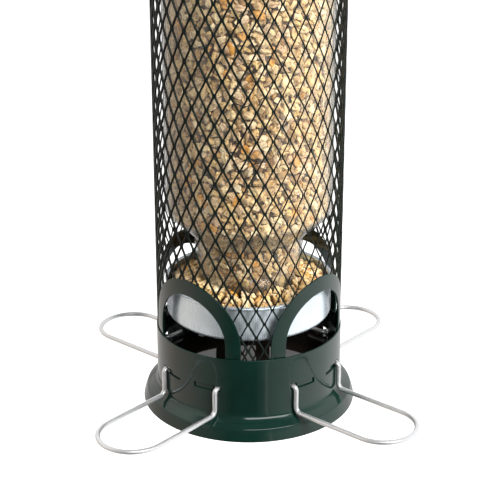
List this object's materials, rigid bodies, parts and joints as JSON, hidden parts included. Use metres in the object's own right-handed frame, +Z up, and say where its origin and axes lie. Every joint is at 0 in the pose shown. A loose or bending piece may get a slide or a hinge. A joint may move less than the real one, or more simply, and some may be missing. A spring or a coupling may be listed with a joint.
{
  "type": "bird feeder",
  "caption": "Hanging seed feeder: clear seed tube and metal tray inside a spring-borne mesh shroud with arched ports, wire perches and a domed cap",
  "frame": {"origin": "on the vertical axis, level with the bottom of the base flange", "axes": "+Z up; the ports face -Y, +X, +Y and -X"},
  "size_m": [0.255, 0.255, 0.4997],
  "materials": {
    "shroud_paint": "gloss very dark green stove enamel",
    "mesh_paint": "dark green plastic-coated expanded mesh",
    "perch_wire": "bright polished stainless wire",
    "hanger_wire": "bright drawn steel wire",
    "zinc_hardware": "zinc-plated fasteners",
    "spring_steel": "bright spring steel",
    "tray_metal": "galvanised sheet with fine upright brushing",
    "clear_plastic": "clear plastic, slightly hazed",
    "dark_plastic": "moulded brown-black plastic, fairly glossy",
    "seed": "hulled oat and sunflower hearts, dry and matte"
  },
  "bodies": {
    "seed_unit": {"hanger_wire": "hanger_wire", "hanger_nuts": "zinc_hardware", "crossbar": "zinc_hardware", "centre_rod": "zinc_hardware", "rod_nuts": "zinc_hardware", "tube_collar": "dark_plastic", "seed_tube": "clear_plastic", "tube_foot": "dark_plastic", "seed_tray": "tray_metal", "tray_washer": "zinc_hardware", "tray_nut": "zinc_hardware", "seed_fill": "seed", "seed_bed": "seed", "lift_spring": "spring_steel", "spring_washer": "zinc_hardware"},
    "adjuster": {"adjusting_nut": "zinc_hardware"},
    "shroud": {"mesh_tube": "mesh_paint", "top_ring": "shroud_paint", "lift_yoke": "shroud_paint", "yoke_rivets": "zinc_hardware", "yoke_bush": "dark_plastic", "port_frame_front": "shroud_paint", "port_frame_right": "shroud_paint", "port_frame_back": "shroud_paint", "port_frame_left": "shroud_paint", "base_cup": "shroud_paint", "base_floor": "dark_plastic", "perch_front": "perch_wire", "perch_right": "perch_wire", "perch_back": "perch_wire", "perch_left": "perch_wire"},
    "cap": {"cap_dome": "shroud_paint", "cap_sleeves": "dark_plastic"}
  },
  "joints": [
    {"name": "shroud_slide", "type": "slide", "parent": "seed_unit", "child": "shroud", "axis": [0, 0, 1], "range_m": [0, 0.022], "stiffness_N_per_m": 300, "springref_m": 0.06, "deforming": ["lift_spring"]},
    {"name": "cap_lift", "type": "slide", "parent": "seed_unit", "child": "cap", "axis": [0, 0, 1], "range_m": [0, 0.08]},
    {"name": "adjuster_turn", "type": "hinge", "parent": "seed_unit", "child": "adjuster", "pos_m": [0, 0, 0.3865], "axis": [0, 0, 1], "range_deg": [-360, 360]}
  ]
}
